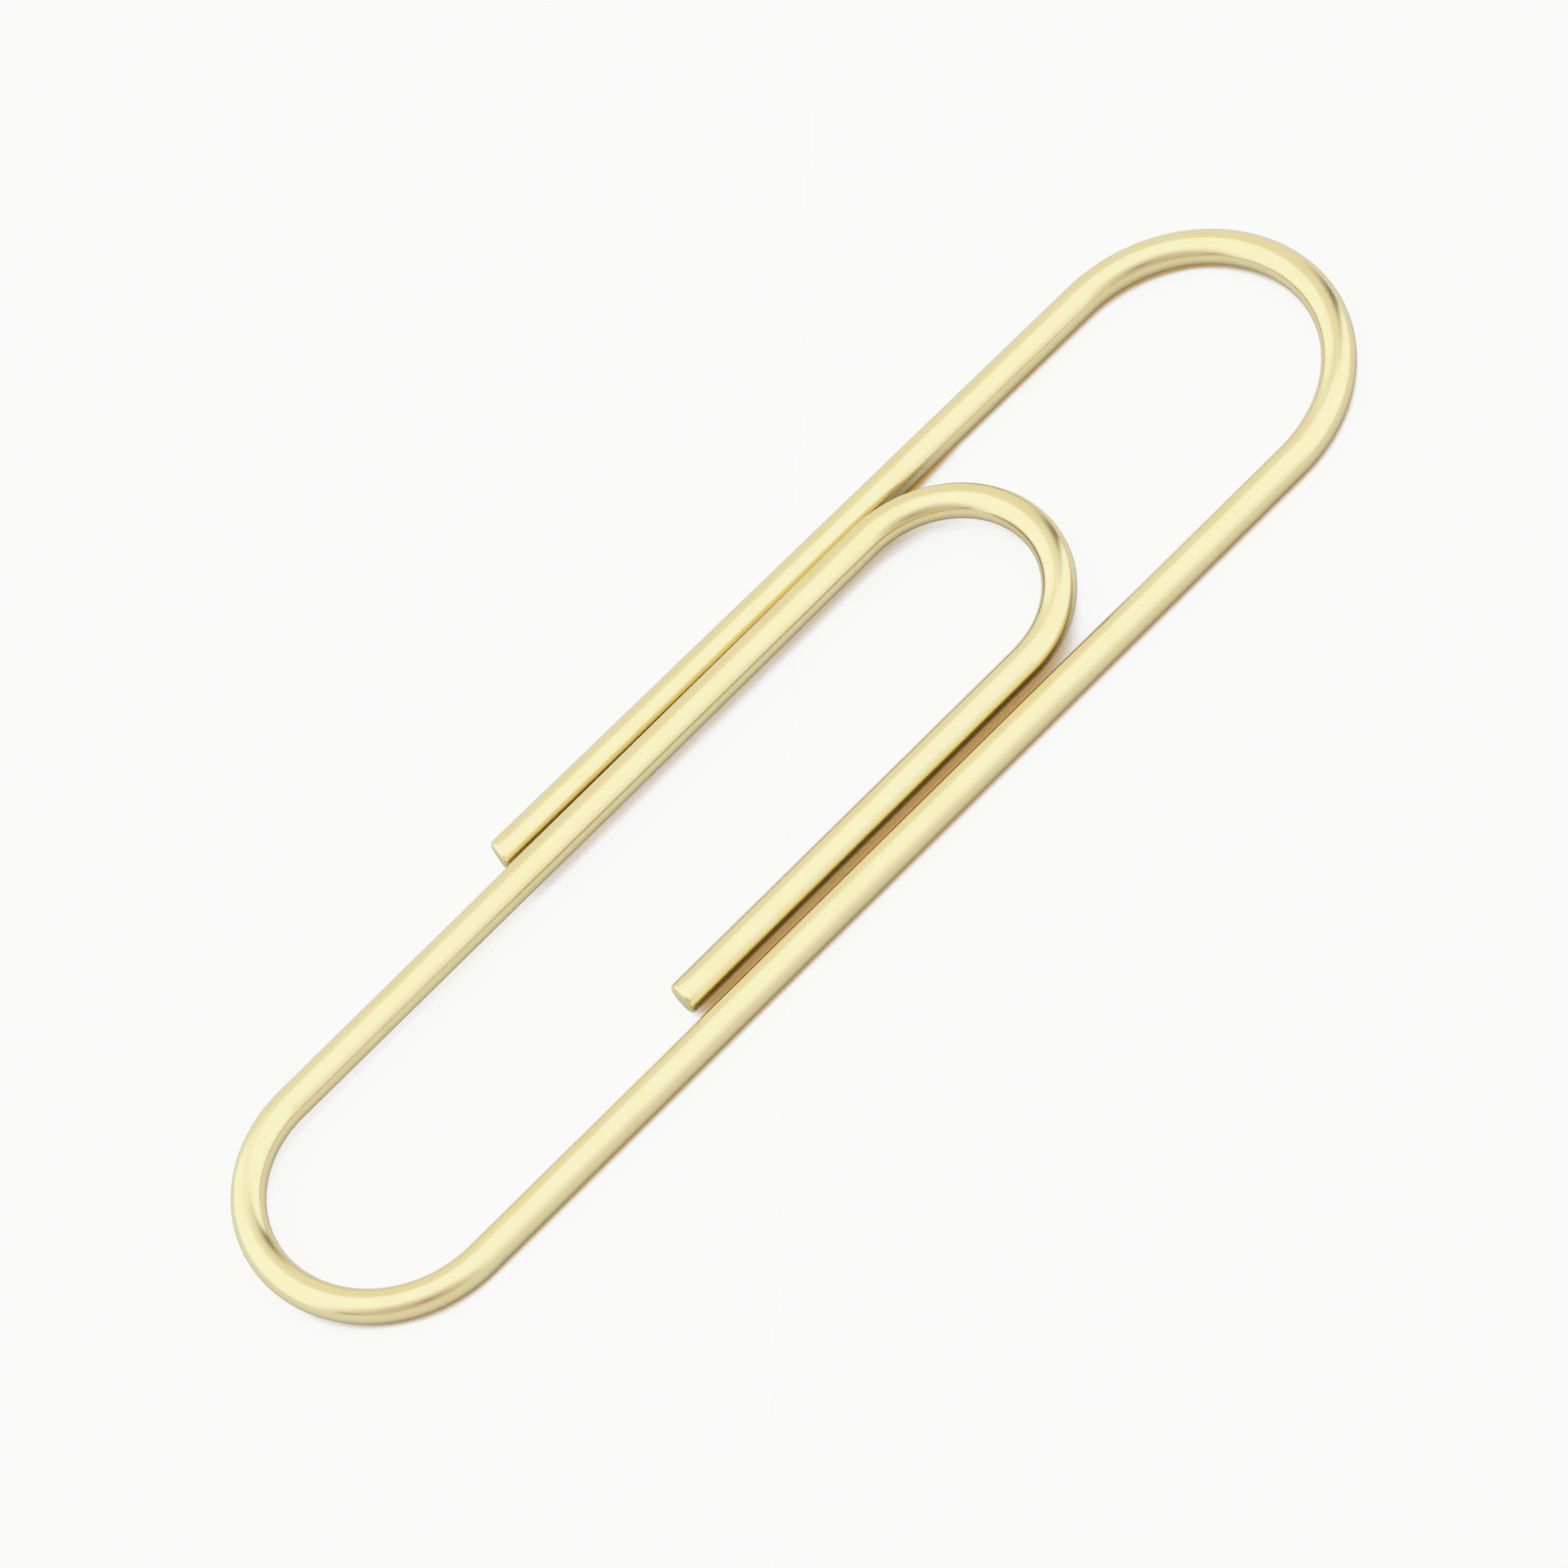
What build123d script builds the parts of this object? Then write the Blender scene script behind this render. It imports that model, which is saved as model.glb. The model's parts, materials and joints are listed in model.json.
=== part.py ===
"""Paper clip: one drawn round wire bent three times into nested flat loops."""
from build123d import *
from math import cos, radians, sin
import os

os.makedirs("parts", exist_ok=True)

# Whole clip, millimetres and degrees
CLIP_LENGTH = 50.0
CLIP_WIDTH = 11.85
WIRE_DIAMETER = 1.2
TIP_ROUNDING = 0.12

# How the loops sit in one another
LEG_SPLAY = 0.65
TIP_GAP = 0.32
INNER_GAP = 0.36
TONGUE_ROLL = 3.0
INNER_ROLL = 1.5
INNER_SETBACK = 12.65
OUTER_TIP_SETBACK = 16.5
INNER_TIP_SETBACK = 16.4

HALF_TURN = 180.0

# The outer loop lies flat: its wire centre is one radius above the table
wire_radius = WIRE_DIAMETER / 2
floor_z = wire_radius
outer_radius = (CLIP_WIDTH - WIRE_DIAMETER) / 2
outer_x = CLIP_LENGTH / 2 - wire_radius - outer_radius
outer_tip_x = OUTER_TIP_SETBACK - CLIP_LENGTH / 2
splay = radians(LEG_SPLAY)
outer_start = Vector(outer_x + outer_radius * sin(splay), outer_radius * cos(splay), floor_z)
outer_run = (outer_start.X - outer_tip_x) / cos(splay)
outer_tip_y = outer_start.Y + outer_run * sin(splay)

# The tongue is the rest of the wire: the heel bend rolls it up about the long leg,
# and the inner bend comes down again by less
roll = radians(TONGUE_ROLL)
across = Vector(0, cos(roll), sin(roll))
upright = Vector(0, -sin(roll), cos(roll))
inner_roll = radians(INNER_ROLL)
inner_across = Vector(0, cos(inner_roll), sin(inner_roll))
inner_upright = Vector(0, -sin(inner_roll), cos(inner_roll))
return_y = outer_tip_y - WIRE_DIAMETER - TIP_GAP
inner_y = WIRE_DIAMETER + INNER_GAP - outer_radius
heel_radius = (return_y + outer_radius) / (2 * cos(roll))
inner_radius = (return_y - inner_y) / (2 * cos(inner_roll))
heel_x = wire_radius + heel_radius - CLIP_LENGTH / 2
inner_x = CLIP_LENGTH / 2 - wire_radius - INNER_SETBACK - inner_radius
inner_tip_x = INNER_TIP_SETBACK - CLIP_LENGTH / 2

# Where one run of the wire hands over to the next
long_heel = Vector(heel_x, -outer_radius, floor_z)
long_outer = Vector(outer_x, -outer_radius, floor_z)
heel_end = long_heel + across * (2 * heel_radius)
return_end = Vector(inner_x, heel_end.Y, heel_end.Z)
inner_end = return_end - inner_across * (2 * inner_radius)

# Directions the wire runs in
ahead = Vector(1, 0, 0)
back = Vector(-1, 0, 0)
splayed = Vector(-cos(splay), sin(splay), 0)


def leg(start, heading, length):
    """A straight run of wire."""
    return extrude(Plane(origin=start, z_dir=heading) * Circle(wire_radius), amount=length)


def tipped_leg(start, heading, length):
    """A straight run that ends in a cropped tip with a softened rim."""
    run = leg(start, heading, length)
    rim = run.faces().sort_by(Axis(start, heading))[-1].edges()
    return fillet(rim, radius=TIP_ROUNDING)


def bend(start, heading, centre, axis, angle):
    """A round bend: the wire's section carried about an axis."""
    section = Plane(origin=start, z_dir=heading) * Circle(wire_radius)
    return revolve(section, axis=Axis(centre, axis), revolution_arc=angle)


pieces = {
    "long_leg": leg(long_heel, ahead, outer_x - heel_x),
    "outer_bend": bend(
        long_outer, ahead, Vector(outer_x, 0, floor_z), Vector(0, 0, 1), HALF_TURN - LEG_SPLAY
    ),
    "outer_leg": tipped_leg(outer_start, splayed, outer_run),
    "heel_bend": bend(
        long_heel, back, long_heel + across * heel_radius, -upright, HALF_TURN
    ),
    "return_leg": leg(heel_end, ahead, inner_x - heel_x),
    "inner_bend": bend(
        return_end, ahead, return_end - inner_across * inner_radius, -inner_upright, HALF_TURN
    ),
    "inner_leg": tipped_leg(inner_end, back, inner_x - inner_tip_x),
}

# The outer tip stands out past the outer bend: centre the whole width on Y
centring = Vector(0, -(outer_tip_y - outer_radius) / 2, 0)
for name, piece in pieces.items():
    placed = piece.moved(Location(centring))
    placed.label = name
    export_step(placed, f"parts/{name}.step")
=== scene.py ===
"""Paper clip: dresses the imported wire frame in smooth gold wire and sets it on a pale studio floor."""
import json
import math
from collections import namedtuple

import bmesh
import bpy
from bpy.props import FloatProperty, FloatVectorProperty, IntProperty, PointerProperty
from mathutils import Matrix, Vector


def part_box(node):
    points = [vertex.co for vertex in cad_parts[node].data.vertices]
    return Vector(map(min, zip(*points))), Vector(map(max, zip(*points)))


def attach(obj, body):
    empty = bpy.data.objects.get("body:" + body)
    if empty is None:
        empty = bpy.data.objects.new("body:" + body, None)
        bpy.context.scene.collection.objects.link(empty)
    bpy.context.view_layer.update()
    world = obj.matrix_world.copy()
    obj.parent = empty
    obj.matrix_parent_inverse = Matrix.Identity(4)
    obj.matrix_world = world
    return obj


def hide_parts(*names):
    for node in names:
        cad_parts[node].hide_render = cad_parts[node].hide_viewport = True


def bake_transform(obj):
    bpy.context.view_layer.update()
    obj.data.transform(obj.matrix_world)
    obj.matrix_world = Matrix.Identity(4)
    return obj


bl_info = {
    "name": "Paper Clip",
    "version": (1, 0, 0),
    "blender": (4, 5, 0),
    "location": "View3D > Sidebar > Paper Clip",
    "description": "Draws a gold wire paper clip over its packed frame and lights it on a pale floor",
    "category": "Add Mesh",
}

LAY = "wire_lay"
UP = Vector((0, 0, 1))
AHEAD = Vector((1, 0, 0))
BACK = Vector((-1, 0, 0))

# Mesh work on the wire, as shares of its radius, counts and angles
MERGE_SHARE = 0.001
SMOOTH_ANGLE = math.radians(40)
RIM_SEGMENTS = 6
DOME_STEPS = 3
DOME_STEP_SHARE = 1 / 6
CROP_MATCH = math.cos(math.radians(4))
CROP_FINISH = math.cos(math.radians(20))

# A noise over the straightened wire: its stretch out, up and along, repeats per metre and detail
Grain = namedtuple("Grain", "stretch scale detail")
DIE_LINES = Grain((1.0, 1.0, 0.012), 9000, 3)
UNEVENNESS = Grain((1.0, 1.0, 0.15), 1500, 1)
CLOUDS = Grain((1.0, 1.0, 1.0), 900, 4)
SMUDGES = Grain((1.0, 1.0, 0.5), 260, 3)
BLADE_STRIPES = Grain((1.0, 0.15, 1.0), 9000, 4)
SHEARED_GRAIN = Grain((1.0, 1.0, 1.0), 14000, 3)

# How strongly each noise shows: the span of it that counts, then its share
CLOUD_SPAN = (0.4, 0.7)
CLOUD_SHARE = 0.5
SMUDGE_SPAN = (0.5, 0.75)
SMUDGE_DULLING = 0.06
LINE_DULLING = 0.06
STRIPE_SPAN = (0.35, 0.7)
STRIPE_SHARE = 0.7
GRAIN_DULLING = 0.2
GRAIN_RELIEF = 0.5
CROP_ROUGHNESS = 0.4
CROP_BUMP = 0.6
CROP_DEPTH = 0.00001

# Floor, metres: its drop keeps it clear of the wire's lowest points
FLOOR_SIZE = 4.0
FLOOR_DROP = 0.00002
FLOOR_ROUGHNESS = 0.5
WHITE = (1, 1, 1)

# Open share of the sky over a point of the floor, and what it means there: where painted shade, painted gold
# bounce light and painted contact shade give way to the pale sheet, and how much white the gold sees
OPEN_REACH = 0.0025
OPEN_SAMPLES = 16
SHADE_TO_GLOW = (0.08, 0.2)
GLOW_TO_EDGE = (0.25, 0.3)
EDGE_TO_OPEN = (0.28, 0.42)
MIRRORED_SPAN = (0.5, 1.0)

# Room, as bearings from ahead and heights in degrees
WALL_FAR_FOOT = (97, 0)
WALL_FAR_TOP = (66, 60)
WALL_NEAR_TOP = (8, 51)
WALL_NEAR_FOOT = (12, -10)
WALL_EDGE = (-0.02, 0.02)
STREAK_SPAN = (0.05, 0.38)
STREAK_HEIGHT = (0.3, 0.85)
FRONT_MIDDLE = (232, 2)
FRONT_WIDTH = 10
FRONT_SOFTNESS = 52
STANDS = ((194, 8), (241, 22))
STAND_WIDTH = 3
STAND_SOFTNESS = 6
STAND_SHARE = 0.7

# Camera, millimetres for the sensor and metres for what it sees
SENSOR_WIDTH = 36.0
CLIP_NEAR = 0.01
CLIP_FAR = 10.0

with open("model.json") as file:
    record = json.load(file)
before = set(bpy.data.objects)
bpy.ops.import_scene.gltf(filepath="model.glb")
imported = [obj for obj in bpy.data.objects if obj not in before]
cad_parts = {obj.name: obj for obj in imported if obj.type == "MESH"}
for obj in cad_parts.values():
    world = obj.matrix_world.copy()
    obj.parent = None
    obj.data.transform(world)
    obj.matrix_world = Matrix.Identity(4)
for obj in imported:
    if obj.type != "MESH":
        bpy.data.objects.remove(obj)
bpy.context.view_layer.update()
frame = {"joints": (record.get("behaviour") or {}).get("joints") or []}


class Run:
    """One run of the wire: where it starts, which way it heads and how it turns."""

    def __init__(self, node, body, start, heading, length, side, normal, centre=None):
        self.node = node
        self.body = body
        self.start = start
        self.heading = heading
        self.length = length
        self.side = side
        self.normal = normal
        self.centre = centre
        self.along = 0.0
        self.end_normal = normal

    @property
    def radius(self):
        return (self.start - self.centre).length

    @property
    def angle(self):
        return self.length / self.radius

    def unrolled(self, point):
        """Where a point lies on the wire when it is pulled straight: out, up and along."""
        if self.centre is None:
            offset = point - self.start
            run = offset.dot(self.heading)
            share = min(max(run / self.length, 0.0), 1.0)
            up = self.normal.lerp(self.end_normal, share).normalized()
            side = up.cross(self.heading)
            return offset.dot(side), offset.dot(up), self.along + run
        offset = point - self.centre
        out = offset.dot(self.side)
        ahead = offset.dot(self.heading)
        turned = math.atan2(ahead, out) * self.radius
        return math.hypot(out, ahead) - self.radius, offset.dot(self.normal), self.along + turned


def hinge_point(joint):
    """The wire's centre at one of the frame's hinges."""
    return next(Vector(j["pos_m"]) for j in frame["joints"] if j["name"] == joint)


def straight(node, body, start, end, normal):
    """A straight run between two points of the wire's centre line."""
    heading = (end - start).normalized()
    return Run(node, body, start, heading, (end - start).length, normal.cross(heading), normal)


def turn(node, body, start, heading, centre, normal, angle):
    """A bend from a point of the centre line about a centre."""
    radius = (start - centre).length
    return Run(node, body, start, heading, radius * angle, (start - centre).normalized(), normal, centre)


def trace_wire():
    """Follows the wire through the frame from its outer tip to its inner tip."""
    long_low, long_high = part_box("long_leg")
    level = (long_low.z + long_high.z) / 2
    lane = (long_low.y + long_high.y) / 2
    long_heel = Vector((long_low.x, lane, level))
    long_outer = Vector((long_high.x, lane, level))
    outer_start = hinge_point("outer_leg_flex")
    heel_end = hinge_point("tongue_flex")
    inner_end = hinge_point("inner_leg_flex")
    reach = outer_start - long_outer
    outer_radius = (reach.x ** 2 + reach.y ** 2) / (2 * reach.y)
    outer_centre = long_outer + Vector((0, outer_radius, 0))
    spoke = (outer_start - outer_centre).normalized()
    outer_heading = spoke.cross(UP)
    outer_tip_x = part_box("outer_leg")[0].x
    outer_tip = outer_start - outer_heading * ((outer_start.x - outer_tip_x) / outer_heading.x)
    return_end = Vector((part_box("return_leg")[1].x, heel_end.y, heel_end.z))
    upright = AHEAD.cross(heel_end - long_heel).normalized()
    inner_upright = AHEAD.cross(return_end - inner_end).normalized()
    inner_tip = Vector((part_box("inner_leg")[0].x, inner_end.y, inner_end.z))
    outer_sweep = math.pi - math.asin(-outer_heading.y)
    runs = [
        straight("outer_leg", "outer_leg", outer_tip, outer_start, UP),
        turn("outer_bend", "outer_loop", outer_start, outer_heading, outer_centre, UP, outer_sweep),
        straight("long_leg", "outer_loop", long_outer, long_heel, UP),
        turn("heel_bend", "outer_loop", long_heel, BACK, (long_heel + heel_end) / 2, upright, math.pi),
        straight("return_leg", "tongue", heel_end, return_end, upright),
        turn("inner_bend", "tongue", return_end, AHEAD, (return_end + inner_end) / 2, inner_upright, math.pi),
        straight("inner_leg", "inner_leg", inner_end, inner_tip, inner_upright),
    ]
    for run, following in zip(runs, runs[1:]):
        run.end_normal = following.normal
    travelled = 0.0
    for run in runs:
        run.along = travelled
        travelled += run.length
    return {run.node: run for run in runs}


WIRE = trace_wire()
WIRE_RADIUS = (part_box("long_leg")[1].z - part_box("long_leg")[0].z) / 2


class ClipSizes(bpy.types.PropertyGroup):
    """Sizes of the wire that the frame leaves open."""

    sides: IntProperty(name="Sides", description="Facets around the wire", default=64, min=12)
    leg_rings: IntProperty(name="Leg rings", description="Rings along a straight leg", default=160, min=8)
    bend_rings: IntProperty(name="Bend rings", description="Rings around a half turn", default=72, min=12)
    tip_rounding: FloatProperty(
        name="Tip rounding", description="Radius of a cropped tip's rim",
        default=0.00014, unit="LENGTH", precision=6,
    )
    outer_slant: FloatProperty(
        name="Outer slant", description="Lean of the outer tip's crop",
        default=math.radians(-10), subtype="ANGLE",
    )
    inner_slant: FloatProperty(
        name="Inner slant", description="Lean of the inner tip's crop",
        default=math.radians(-4), subtype="ANGLE",
    )
    tip_dome: FloatProperty(
        name="Tip dome", description="Step of a cropped face's dome",
        default=0.000006, unit="LENGTH", precision=6,
    )
    flex_reach: FloatProperty(
        name="Flex reach", description="Length of leg that curves as it lifts",
        default=0.002, unit="LENGTH",
    )


class ClipFinish(bpy.types.PropertyGroup):
    """Colours and polish of the plated wire."""

    gold: FloatVectorProperty(
        name="Gold", description="Bright plating",
        default=(0.95, 0.82, 0.46), subtype="COLOR", min=0, max=1,
    )
    deep_gold: FloatVectorProperty(
        name="Deep gold", description="Thicker plating",
        default=(0.93, 0.78, 0.39), subtype="COLOR", min=0, max=1,
    )
    cropped: FloatVectorProperty(
        name="Cropped end", description="Sheared metal at the tips",
        default=(0.84, 0.76, 0.48), subtype="COLOR", min=0, max=1,
    )
    polish: FloatProperty(
        name="Polish", description="Roughness of the drawn wire",
        default=0.22, min=0, max=1, subtype="FACTOR",
    )
    lacquer: FloatProperty(
        name="Lacquer", description="Clear coat over the plating",
        default=1.0, min=0, max=1, subtype="FACTOR",
    )
    lacquer_polish: FloatProperty(
        name="Lacquer polish", description="Roughness of the clear coat",
        default=0.2, min=0, max=1, subtype="FACTOR",
    )
    draw_lines: FloatProperty(
        name="Draw lines", description="Height of the die lines along the wire",
        default=0.0000004, unit="LENGTH", precision=7,
    )
    dents: FloatProperty(
        name="Dents", description="Height of the slow unevenness left by bending",
        default=0.000007, unit="LENGTH", precision=7,
    )


class ClipStage(bpy.types.PropertyGroup):
    """Light, floor and camera."""

    sky: FloatVectorProperty(
        name="Sky", description="Soft light overhead",
        default=(0.99, 1.085, 1.19), subtype="COLOR", min=0, soft_max=2,
    )
    wall: FloatVectorProperty(
        name="Wall", description="Plain wall beyond the clip",
        default=(0.82, 0.825, 0.745), subtype="COLOR", min=0, max=1,
    )
    front: FloatVectorProperty(
        name="Front", description="Room behind the camera",
        default=(0.60, 0.545, 0.485), subtype="COLOR", min=0, max=1,
    )
    umber: FloatVectorProperty(
        name="Umber", description="Dark edge of the wall and stands",
        default=(0.12, 0.08, 0.04), subtype="COLOR", min=0, max=1,
    )
    paper: FloatVectorProperty(
        name="Paper", description="Floor sheet",
        default=(0.61, 0.575, 0.49), subtype="COLOR", min=0, max=1,
    )
    # Painted shade: dark brown colour of the floor close under the wire, where only shade falls
    shade: FloatVectorProperty(
        name="Shade", description="Floor sheet close under the wire",
        default=(0.20, 0.08, 0.0), subtype="COLOR", min=0, max=1,
    )
    # Painted bounce light: gold-brown floor colour in the crevices that stands in for light thrown off the
    # gold
    glow: FloatVectorProperty(
        name="Glow", description="Floor lit by the gold beside it",
        default=(0.54, 0.30, 0.05), subtype="COLOR", min=0, max=1,
    )
    # Painted contact shade along the wire's edge on the open floor
    edge: FloatVectorProperty(
        name="Edge", description="Contact shade along the open floor",
        default=(0.42, 0.34, 0.23), subtype="COLOR", min=0, max=1,
    )
    whiteout: FloatProperty(
        name="Whiteout", description="Share of plain white in the open floor",
        default=0.9, min=0, max=1, subtype="FACTOR",
    )
    mirrored: FloatProperty(
        name="Mirrored", description="Share of that white in the gold",
        default=0.45, min=0, max=1, subtype="FACTOR",
    )
    elevation: FloatProperty(
        name="Elevation", description="Camera height over the floor",
        default=math.radians(54.18), subtype="ANGLE",
    )
    swing: FloatProperty(
        name="Swing", description="Turn of the clip under the camera",
        default=math.radians(20.76), subtype="ANGLE",
    )
    tilt: FloatProperty(
        name="Tilt", description="Roll of the picture",
        default=math.radians(27.43), subtype="ANGLE",
    )
    distance: FloatProperty(name="Distance", description="Camera distance", default=0.874, unit="LENGTH")
    field: FloatProperty(
        name="Field", description="Width of the picture at the clip",
        default=0.05242, unit="LENGTH", precision=5,
    )
    offset: FloatVectorProperty(
        name="Offset", description="Picture centre from the frame's origin",
        default=(-0.000226, -0.000233), size=2, unit="LENGTH", precision=6,
    )


class Tap:
    """A socket in a node tree; sums on it add Math nodes."""

    def __init__(self, recipe, socket):
        self.recipe = recipe
        self.socket = socket

    def math(self, operation, other):
        return self.recipe.node("ShaderNodeMath", {"operation": operation}, {0: self, 1: other})

    def vector(self, operation, value, out="Vector"):
        return self.recipe.node("ShaderNodeVectorMath", {"operation": operation}, {0: self, 1: value}, out)

    def ramp(self, low, high, to_low=0.0, to_high=1.0):
        """Eases from one value to another as this socket goes from low to high."""
        links = {"Value": self, "From Min": low, "From Max": high, "To Min": to_low, "To Max": to_high}
        return self.recipe.node("ShaderNodeMapRange", {"interpolation_type": "SMOOTHSTEP"}, links)

    def __add__(self, other):
        return self.math("ADD", other)

    def __mul__(self, other):
        return self.math("MULTIPLY", other)


class Recipe:
    """Builds one node tree, node by node."""

    def __init__(self, owner):
        owner.use_nodes = True
        self.tree = owner.node_tree
        self.tree.nodes.clear()

    def feed(self, socket, value):
        """Links a socket to another, or sets its value."""
        if isinstance(value, Tap):
            self.tree.links.new(value.socket, socket)
        else:
            socket.default_value = value

    def node(self, kind, settings=None, links=None, out=0):
        made = self.tree.nodes.new(kind)
        for name, value in (settings or {}).items():
            setattr(made, name, value)
        for name, value in (links or {}).items():
            self.feed(made.inputs[name], value)
        return Tap(self, made.outputs[out]) if len(made.outputs) else None

    def grain(self, lay, grain):
        """Noise that lies along the straightened wire."""
        stretched = lay.vector("MULTIPLY", grain.stretch)
        links = {"Vector": stretched, "Scale": grain.scale, "Detail": grain.detail}
        return self.node("ShaderNodeTexNoise", None, links, "Fac")

    def blend(self, share, first, second):
        """Mixes two colours by a share."""
        made = self.tree.nodes.new("ShaderNodeMix")
        made.data_type = "RGBA"
        for name, value in (("Factor_Float", share), ("A_Color", first), ("B_Color", second)):
            self.feed(next(s for s in made.inputs if s.identifier == name), value)
        return Tap(self, next(s for s in made.outputs if s.identifier == "Result_Color"))


def compass(azimuth, elevation):
    """A direction by its bearing from ahead and its height, in degrees."""
    turned, raised = math.radians(azimuth), math.radians(elevation)
    flat = math.cos(raised)
    return Vector((math.cos(turned) * flat, math.sin(turned) * flat, math.sin(raised)))


def rgba(colour):
    """A colour property as a shader colour."""
    return (*colour, 1.0)


def plated_wire_material(finish):
    """Bright lacquered plating over drawn wire: die lines, thin cloudy patches and a little dulling."""
    material = bpy.data.materials.new("plated_wire")
    recipe = Recipe(material)
    lay = recipe.node("ShaderNodeAttribute", {"attribute_name": LAY}, None, "Vector")
    lines = recipe.grain(lay, DIE_LINES)
    dents = recipe.grain(lay, UNEVENNESS)
    cloud = recipe.grain(lay, CLOUDS)
    smudge = recipe.grain(lay, SMUDGES)
    thick = cloud.ramp(*CLOUD_SPAN, 0.0, CLOUD_SHARE)
    colour = recipe.blend(thick, rgba(finish.gold), rgba(finish.deep_gold))
    dulled = smudge.ramp(*SMUDGE_SPAN, 0.0, SMUDGE_DULLING)
    roughness = lines * LINE_DULLING + dulled + (finish.polish - LINE_DULLING / 2)
    height = lines * finish.draw_lines + dents * finish.dents
    bump = recipe.node("ShaderNodeBump", None, {"Strength": 1.0, "Distance": 1.0, "Height": height}, "Normal")
    links = {"Base Color": colour, "Metallic": 1.0, "Roughness": roughness, "Normal": bump}
    links["Coat Weight"] = finish.lacquer
    links["Coat Roughness"] = finish.lacquer_polish
    surface = recipe.node("ShaderNodeBsdfPrincipled", None, links, "BSDF")
    recipe.node("ShaderNodeOutputMaterial", None, {"Surface": surface})
    return material


def cropped_end_material(finish):
    """Sheared metal: dull, faintly striped by the blade."""
    material = bpy.data.materials.new("cropped_end")
    recipe = Recipe(material)
    lay = recipe.node("ShaderNodeAttribute", {"attribute_name": LAY}, None, "Vector")
    stripes = recipe.grain(lay, BLADE_STRIPES)
    grain = recipe.grain(lay, SHEARED_GRAIN)
    smeared = stripes.ramp(*STRIPE_SPAN, 0.0, STRIPE_SHARE)
    colour = recipe.blend(smeared, rgba(finish.cropped), rgba(finish.gold))
    roughness = grain * GRAIN_DULLING + CROP_ROUGHNESS
    height = stripes + grain * GRAIN_RELIEF
    links = {"Strength": CROP_BUMP, "Distance": CROP_DEPTH, "Height": height}
    bump = recipe.node("ShaderNodeBump", None, links, "Normal")
    links = {"Base Color": colour, "Metallic": 1.0, "Roughness": roughness, "Normal": bump}
    surface = recipe.node("ShaderNodeBsdfPrincipled", None, links, "BSDF")
    recipe.node("ShaderNodeOutputMaterial", None, {"Surface": surface})
    return material


def finish_material(name, make):
    """The named material, made the first time that it is wanted."""
    return bpy.data.materials.get(name) or make(bpy.context.scene.clip_finish)


def start_section(name, centre, heading):
    """Adds the wire's round section square to a heading and opens it for editing."""
    sizes = bpy.context.scene.clip_sizes
    bpy.ops.object.select_all(action="DESELECT")
    facing = heading.to_track_quat("Z", "Y").to_euler()
    bpy.ops.mesh.primitive_circle_add(
        vertices=sizes.sides, radius=WIRE_RADIUS, fill_type="NGON", location=centre, rotation=facing
    )
    piece = bpy.context.object
    piece.name = name
    piece.data.name = name
    bpy.ops.object.transform_apply(location=True, rotation=True, scale=True)
    bpy.ops.object.mode_set(mode="EDIT")
    bpy.ops.mesh.select_mode(type="FACE")
    bpy.ops.mesh.select_all(action="SELECT")
    return piece


def pull(direction, length, rings):
    """Extrudes what is selected along a direction in even steps."""
    step = direction * (length / rings)
    for _ in range(rings):
        bpy.ops.mesh.extrude_region_move(TRANSFORM_OT_translate={"value": step})


def select_faces(piece, wanted):
    """Selects only the faces that a test picks, by normal and middle."""
    bpy.ops.mesh.select_all(action="DESELECT")
    mesh = bmesh.from_edit_mesh(piece.data)
    for face in mesh.faces:
        face.select = wanted(face.normal, face.calc_center_median())
    mesh.select_flush_mode()
    bmesh.update_edit_mesh(piece.data)


def close_section(piece):
    """Leaves edit mode with one clean closed skin that faces outwards."""
    bpy.ops.mesh.select_all(action="SELECT")
    bpy.ops.mesh.remove_doubles(threshold=WIRE_RADIUS * MERGE_SHARE)
    bpy.ops.mesh.select_all(action="SELECT")
    bpy.ops.mesh.fill_holes(sides=0)
    bpy.ops.mesh.select_all(action="SELECT")
    bpy.ops.mesh.normals_make_consistent(inside=False)
    bpy.ops.object.mode_set(mode="OBJECT")
    bpy.ops.object.shade_smooth_by_angle(angle=SMOOTH_ANGLE)


def mark_lay(piece, run):
    """Stores where each point lies on the straight wire, so that die lines follow the bends."""
    layer = piece.data.attributes.new(LAY, "FLOAT_VECTOR", "POINT")
    for vertex, stored in zip(piece.data.vertices, layer.data):
        stored.vector = run.unrolled(vertex.co)


def dress(piece, run):
    """Gives a finished run its plating and sets it in place of the frame's own node."""
    mark_lay(piece, run)
    piece.data.materials.append(finish_material("plated_wire", plated_wire_material))
    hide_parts(run.node)


class CLIP_OT_draw_legs(bpy.types.Operator):
    """Draws the plain straight legs between two bends"""

    bl_idname = "clip.draw_legs"
    bl_label = "Draw Legs"

    def execute(self, context):
        sizes = context.scene.clip_sizes
        for node in ("long_leg", "return_leg"):
            run = WIRE[node]
            piece = start_section(f"{node}_wire", run.start, run.heading)
            pull(run.heading, run.length, sizes.leg_rings)
            close_section(piece)
            dress(piece, run)
        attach(bpy.data.objects["long_leg_wire"], "outer_loop")
        tongue = WIRE["return_leg"]
        flexed = tongue.start + tongue.heading * sizes.flex_reach
        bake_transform(bpy.data.objects["return_leg_wire"])
        return {"FINISHED"}


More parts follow.
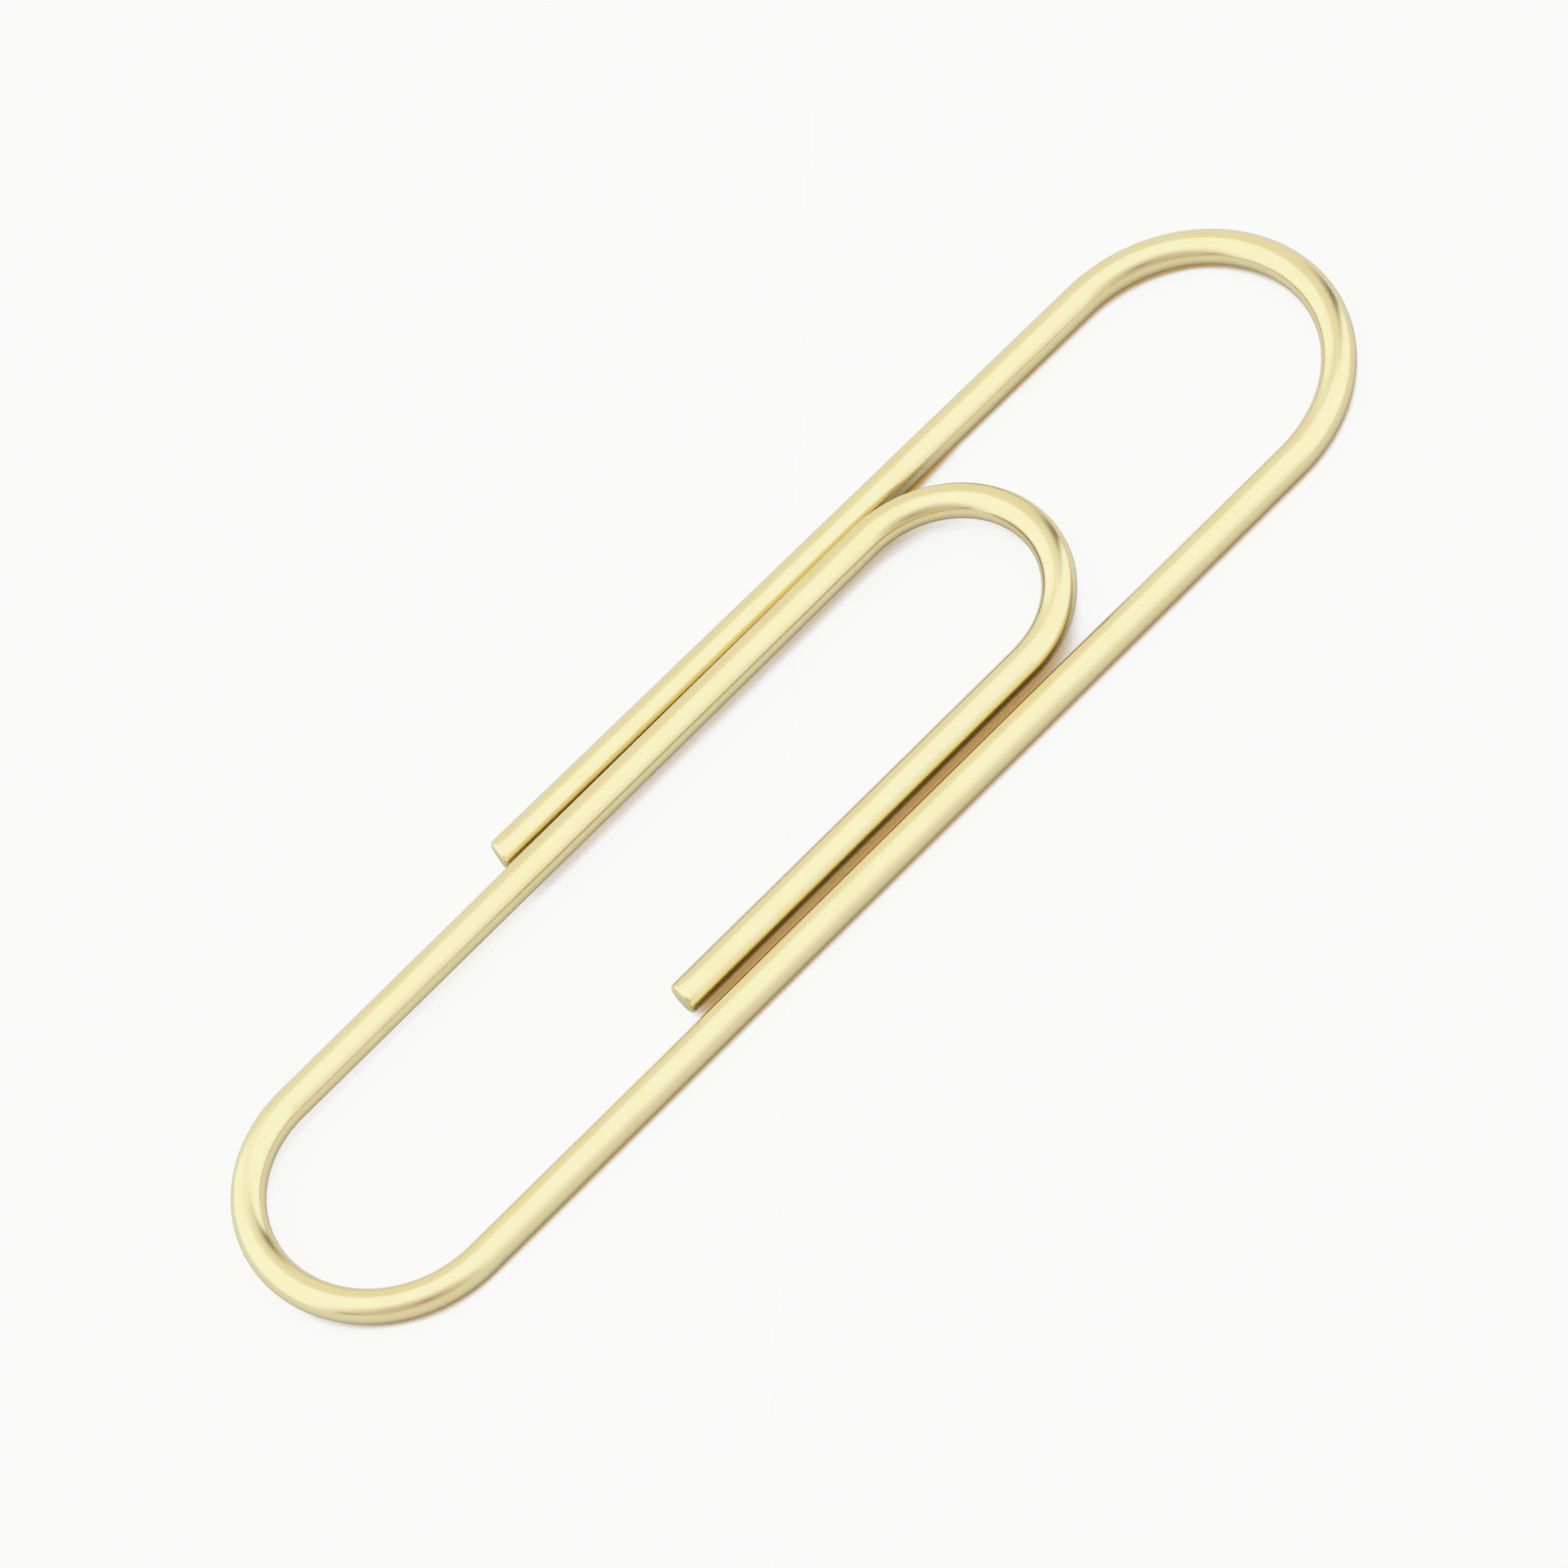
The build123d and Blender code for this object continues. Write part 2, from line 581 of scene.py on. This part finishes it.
class CLIP_OT_crop_tips(bpy.types.Operator):
    """Draws the legs that end in a cropped tip"""

    bl_idname = "clip.crop_tips"
    bl_label = "Crop Tips"

    def draw_tipped(self, run, root, heading, slant):
        """Pulls a leg to its tip, leans the end face as the crop does, rounds its rim and domes it."""
        sizes = bpy.context.scene.clip_sizes
        piece = start_section(f"{run.node}_wire", root, heading)
        nose = WIRE_RADIUS
        pull(heading, run.length - nose, sizes.leg_rings)
        pull(heading, nose, 1)
        tip = root + heading * run.length
        bpy.ops.transform.rotate(value=-slant, orient_axis="Z", orient_type="GLOBAL", center_override=tip)
        blade = Matrix.Rotation(slant, 3, UP) @ heading

        def cropped(normal, middle):
            return normal.dot(blade) > CROP_MATCH and (middle - tip).length < nose

        bpy.ops.mesh.select_all(action="SELECT")
        bpy.ops.mesh.normals_make_consistent(inside=False)
        select_faces(piece, cropped)
        bpy.ops.mesh.bevel(offset=sizes.tip_rounding, segments=RIM_SEGMENTS, affect="EDGES")
        select_faces(piece, cropped)
        for _ in range(DOME_STEPS):
            bpy.ops.mesh.inset(thickness=WIRE_RADIUS * DOME_STEP_SHARE, depth=sizes.tip_dome)
        close_section(piece)
        dress(piece, run)
        piece.data.materials.append(finish_material("cropped_end", cropped_end_material))
        for face in piece.data.polygons:
            face.material_index = int(face.normal.dot(blade) > CROP_FINISH)
        return piece

    def execute(self, context):
        sizes = context.scene.clip_sizes
        outer = WIRE["outer_leg"]
        root = outer.start + outer.heading * outer.length
        flexed = root - outer.heading * sizes.flex_reach
        piece = self.draw_tipped(outer, root, -outer.heading, sizes.outer_slant)
        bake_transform(piece)
        inner = WIRE["inner_leg"]
        flexed = inner.start + inner.heading * sizes.flex_reach
        piece = self.draw_tipped(inner, inner.start, inner.heading, sizes.inner_slant)
        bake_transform(piece)
        return {"FINISHED"}


class CLIP_OT_turn_bends(bpy.types.Operator):
    """Turns the round bends of the wire"""

    bl_idname = "clip.turn_bends"
    bl_label = "Turn Bends"

    def execute(self, context):
        rings = context.scene.clip_sizes.bend_rings
        for node in ("outer_bend", "heel_bend", "inner_bend"):
            run = WIRE[node]
            piece = start_section(f"{node}_wire", run.start, run.heading)
            bpy.ops.mesh.delete(type="ONLY_FACE")
            bpy.ops.mesh.select_all(action="SELECT")
            bpy.ops.mesh.spin(
                steps=rings, angle=run.angle, center=run.centre, axis=run.normal, use_auto_merge=False
            )
            close_section(piece)
            dress(piece, run)
            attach(piece, run.body)
        return {"FINISHED"}


class CLIP_OT_set_stage(bpy.types.Operator):
    """Lays the pale floor, lights the studio and sets the camera"""

    bl_idname = "clip.set_stage"
    bl_label = "Set Stage"

    def lay_floor(self, stage):
        """A pale sheet with real shading plus painted contact shade and painted gold bounce light near the
        wire, whitened where the camera or the gold sees it.
        """
        bpy.ops.object.select_all(action="DESELECT")
        bpy.ops.mesh.primitive_plane_add(size=FLOOR_SIZE, location=(0, 0, -FLOOR_DROP))
        floor = bpy.context.object
        floor.name = "floor"
        material = bpy.data.materials.new("paper_floor")
        recipe = Recipe(material)
        clear = recipe.node(
            "ShaderNodeAmbientOcclusion", {"samples": OPEN_SAMPLES}, {"Distance": OPEN_REACH}, "AO"
        )
        # Painted shade: the sheet's colour and its white run from dark brown under the wire, through a
        # painted gold glow in the crevices and a painted contact shade, to the open floor, by how much sky
        # each point sees
        under = recipe.blend(clear.ramp(*SHADE_TO_GLOW), rgba(stage.shade), rgba(stage.glow))
        under = recipe.blend(clear.ramp(*GLOW_TO_EDGE), under, rgba(stage.edge))
        open_floor = clear.ramp(*EDGE_TO_OPEN)
        colour = recipe.blend(open_floor, under, rgba(stage.paper))
        links = {"Base Color": colour, "Roughness": FLOOR_ROUGHNESS}
        sheet = recipe.node("ShaderNodeBsdfPrincipled", None, links, "BSDF")
        tint = recipe.blend(open_floor, under, rgba(WHITE))
        white = recipe.node("ShaderNodeEmission", None, {"Color": tint, "Strength": 1.0})
        # Painted shade in reflections: the gold sees less white on the floor close to the wire
        seen = recipe.node("ShaderNodeLightPath", None, None, "Is Camera Ray") * stage.whiteout
        for ray in ("Is Glossy Ray", "Is Transmission Ray"):
            share = clear.ramp(*MIRRORED_SPAN, 0.0, stage.mirrored)
            seen = seen + recipe.node("ShaderNodeLightPath", None, None, ray) * share
        surface = recipe.node("ShaderNodeMixShader", None, {0: seen, 1: sheet, 2: white})
        recipe.node("ShaderNodeOutputMaterial", None, {"Surface": surface})
        floor.data.materials.append(material)

    def light_room(self, stage):
        """A bright soft room: a warm wall to one side, dark along its edge, and a dimmer front."""
        world = bpy.data.worlds.new("studio")
        bpy.context.scene.world = world
        recipe = Recipe(world)
        way = recipe.node("ShaderNodeTexCoord", None, None, "Generated")

        def past(start, end):
            """How far a direction is to the left of the line from one direction to another."""
            return way.vector("DOT_PRODUCT", start.cross(end).normalized(), "Value")

        def spot(middle, wide, soft):
            """A round patch of directions."""
            near = way.vector("DOT_PRODUCT", compass(*middle), "Value")
            return near.ramp(math.cos(math.radians(wide + soft)), math.cos(math.radians(wide)))

        far_foot, far_top = compass(*WALL_FAR_FOOT), compass(*WALL_FAR_TOP)
        near_top, near_foot = compass(*WALL_NEAR_TOP), compass(*WALL_NEAR_FOOT)
        edge = past(near_top, near_foot)
        far = past(far_foot, far_top).ramp(*WALL_EDGE)
        top = past(far_top, near_top).ramp(*WALL_EDGE)
        wall = far * top * edge.ramp(*WALL_EDGE)
        low = way.vector("DOT_PRODUCT", UP, "Value").ramp(*STREAK_HEIGHT, 1.0, 0.0)
        corner = wall * edge.ramp(*STREAK_SPAN, 1.0, 0.0) * low
        colour = recipe.blend(wall, rgba(stage.sky), rgba(stage.wall))
        colour = recipe.blend(corner, colour, rgba(stage.umber))
        front = spot(FRONT_MIDDLE, FRONT_WIDTH, FRONT_SOFTNESS)
        colour = recipe.blend(front, colour, rgba(stage.front))
        for middle in STANDS:
            stand = spot(middle, STAND_WIDTH, STAND_SOFTNESS)
            colour = recipe.blend(stand * STAND_SHARE, colour, rgba(stage.umber))
        glow = recipe.node("ShaderNodeBackground", None, {"Color": colour, "Strength": 1.0})
        recipe.node("ShaderNodeOutputWorld", None, {"Surface": glow})

    def place_camera(self, stage):
        """Sets the camera over the clip, rolled as the picture is."""
        turned, raised = stage.swing, stage.elevation
        right = Vector((math.cos(turned), -math.sin(turned), 0))
        flat = Vector((math.sin(turned), math.cos(turned), 0))
        up = flat * math.sin(raised) + UP * math.cos(raised)
        towards = UP * math.sin(raised) - flat * math.cos(raised)
        wide = right * math.cos(stage.tilt) - up * math.sin(stage.tilt)
        tall = right * math.sin(stage.tilt) + up * math.cos(stage.tilt)
        lens = bpy.data.cameras.new("camera")
        lens.sensor_width = SENSOR_WIDTH
        lens.lens = SENSOR_WIDTH * stage.distance / stage.field
        lens.clip_start = CLIP_NEAR
        lens.clip_end = CLIP_FAR
        camera = bpy.data.objects.new("camera", lens)
        bpy.context.scene.collection.objects.link(camera)
        place = towards * stage.distance + wide * stage.offset[0] + tall * stage.offset[1]
        facing = Matrix((wide, tall, towards)).transposed()
        camera.matrix_world = Matrix.Translation(place) @ facing.to_4x4()
        bpy.context.scene.camera = camera

    def execute(self, context):
        stage = context.scene.clip_stage
        self.lay_floor(stage)
        self.light_room(stage)
        self.place_camera(stage)
        context.scene.view_settings.view_transform = "Standard"
        return {"FINISHED"}


class CLIP_PT_sidebar(bpy.types.Panel):
    """Lists the clip's steps and settings"""

    bl_idname = "CLIP_PT_sidebar"
    bl_label = "Paper Clip"
    bl_space_type = "VIEW_3D"
    bl_region_type = "UI"
    bl_category = "Paper Clip"

    def draw(self, context):
        for step in STEPS:
            self.layout.operator(step.bl_idname)
        for group in (context.scene.clip_sizes, context.scene.clip_finish, context.scene.clip_stage):
            box = self.layout.box()
            for name in group.bl_rna.properties.keys():
                if name not in ("rna_type", "name"):
                    box.prop(group, name)


STEPS = (CLIP_OT_draw_legs, CLIP_OT_crop_tips, CLIP_OT_turn_bends, CLIP_OT_set_stage)
CLASSES = (ClipSizes, ClipFinish, ClipStage, *STEPS, CLIP_PT_sidebar)


def register():
    for made in CLASSES:
        bpy.utils.register_class(made)
    bpy.types.Scene.clip_sizes = PointerProperty(type=ClipSizes)
    bpy.types.Scene.clip_finish = PointerProperty(type=ClipFinish)
    bpy.types.Scene.clip_stage = PointerProperty(type=ClipStage)


def unregister():
    del bpy.types.Scene.clip_sizes
    del bpy.types.Scene.clip_finish
    del bpy.types.Scene.clip_stage
    for made in reversed(CLASSES):
        bpy.utils.unregister_class(made)


def main():
    register()
    bpy.ops.clip.draw_legs()
    bpy.ops.clip.crop_tips()
    bpy.ops.clip.turn_bends()
    bpy.ops.clip.set_stage()


if __name__ == "__main__":
    main()
